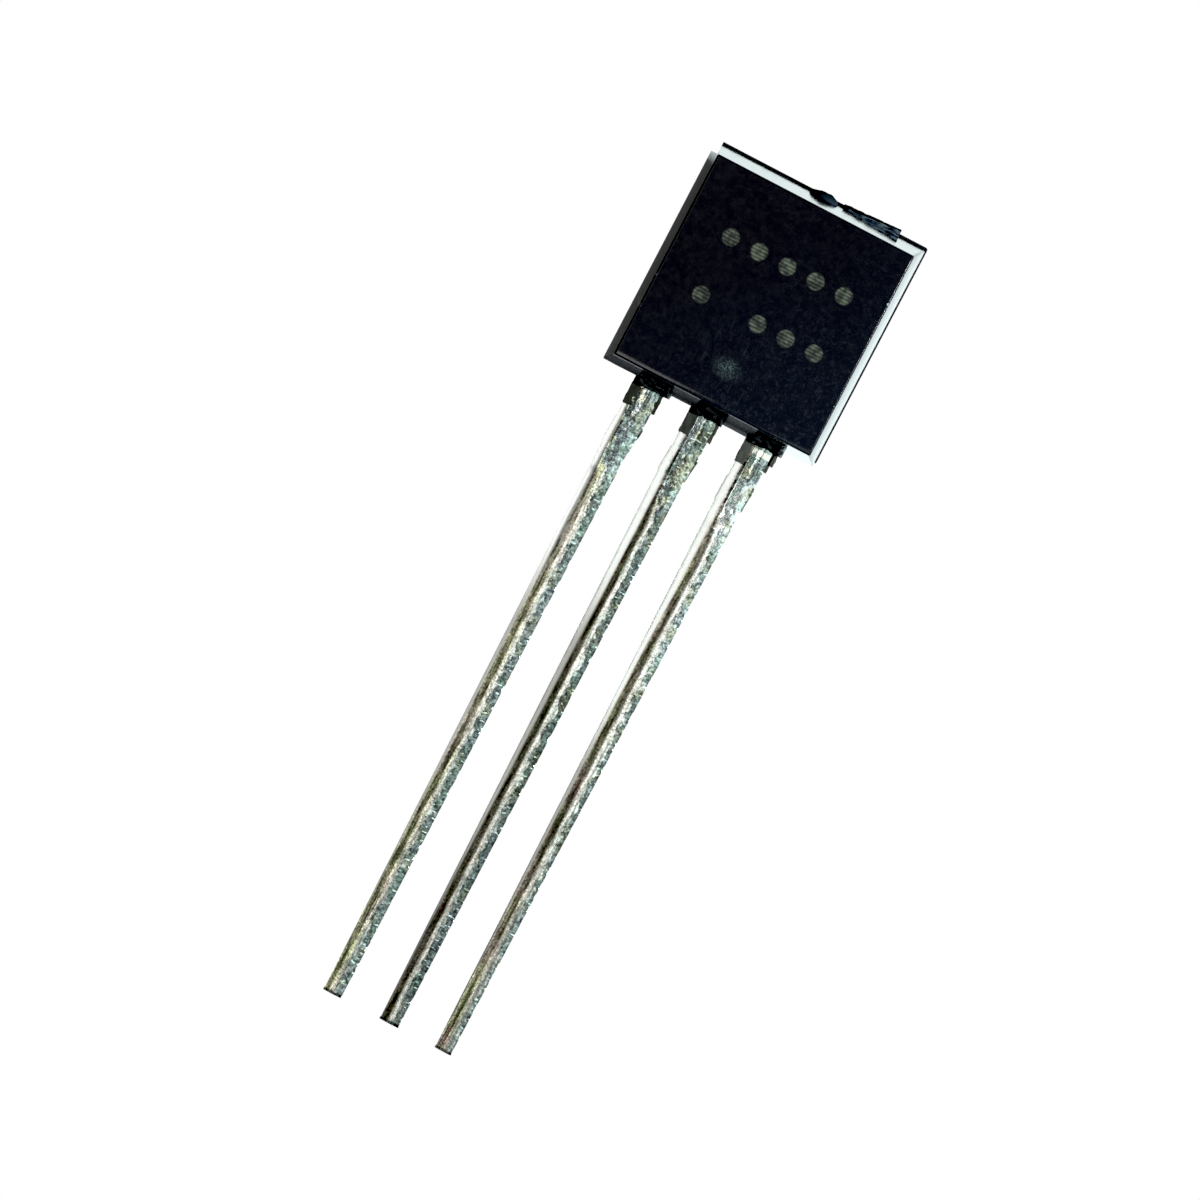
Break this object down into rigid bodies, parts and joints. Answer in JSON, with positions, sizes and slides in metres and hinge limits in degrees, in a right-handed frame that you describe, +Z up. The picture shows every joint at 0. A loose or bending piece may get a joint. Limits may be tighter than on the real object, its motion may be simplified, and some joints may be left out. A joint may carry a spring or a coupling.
{
  "type": "TO-92 transistor",
  "caption": "Small plastic transistor with a half-round moulded body, a flat front and long straight tinned leads at a 1.27 mm pitch, for through-hole circuit boards.",
  "frame": {"origin": "on the surface that the part lies on, under the middle of the space that it fills", "axes": "+Y from the lead tips towards the top of the body, +X across the leads from the collector to the emitter, +Z up; the flat face looks up, 8.6 degrees off +Z towards the tips"},
  "size_m": [0.0048, 0.0188, 0.0045],
  "materials": {
    "moulding_resin": "near-black moulded epoxy, faint navy tint, soft sheen",
    "tinned_lead": "tin plating, crackled and mottled grey-green, bright along the edges",
    "silicon": "polished silicon",
    "solder": "dull solder",
    "gold_wire": "bright gold"
  },
  "bodies": {
    "root": {"moulded_body": "moulding_resin", "collector_lead": "tinned_lead", "base_lead": "tinned_lead", "emitter_lead": "tinned_lead", "silicon_chip": "silicon", "chip_solder": "solder", "base_wire": "gold_wire", "emitter_wire": "gold_wire"}
  },
  "joints": []
}
